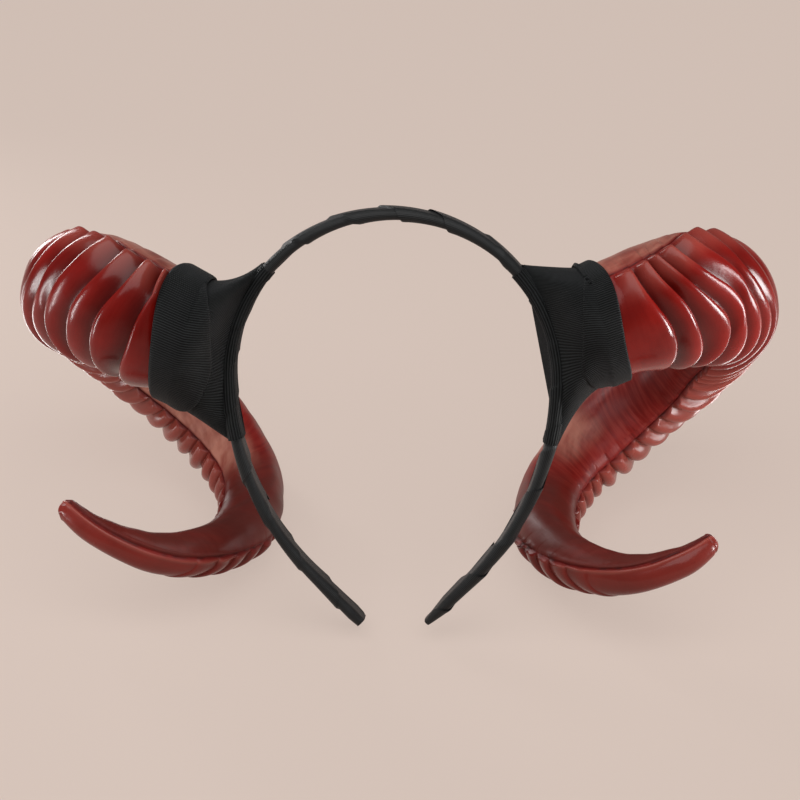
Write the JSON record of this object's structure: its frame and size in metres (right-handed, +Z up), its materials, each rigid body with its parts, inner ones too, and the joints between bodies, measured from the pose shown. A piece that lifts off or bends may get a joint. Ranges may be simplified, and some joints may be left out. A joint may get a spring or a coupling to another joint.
{
  "type": "horned headband",
  "caption": "Costume headband: an open hoop wound with ribbon carries a ribbed, curled goat horn lashed on at each side, worn over the crown of the head.",
  "frame": {"origin": "centre of the bounding box on the floor it rests on", "axes": "+X to the right as seen from the front, -Y the way the wearer faces, +Z up from the floor"},
  "size_m": [0.2954, 0.1378, 0.1553],
  "materials": {
    "wound_hoop": "matte",
    "horn_paint": "gloss",
    "ribbon": "matte"
  },
  "bodies": {
    "root": {"headband": "wound_hoop", "left_horn": "horn_paint", "right_horn": "horn_paint", "left_collar": "ribbon", "right_collar": "ribbon", "left_saddle": "ribbon", "right_saddle": "ribbon"}
  },
  "joints": []
}
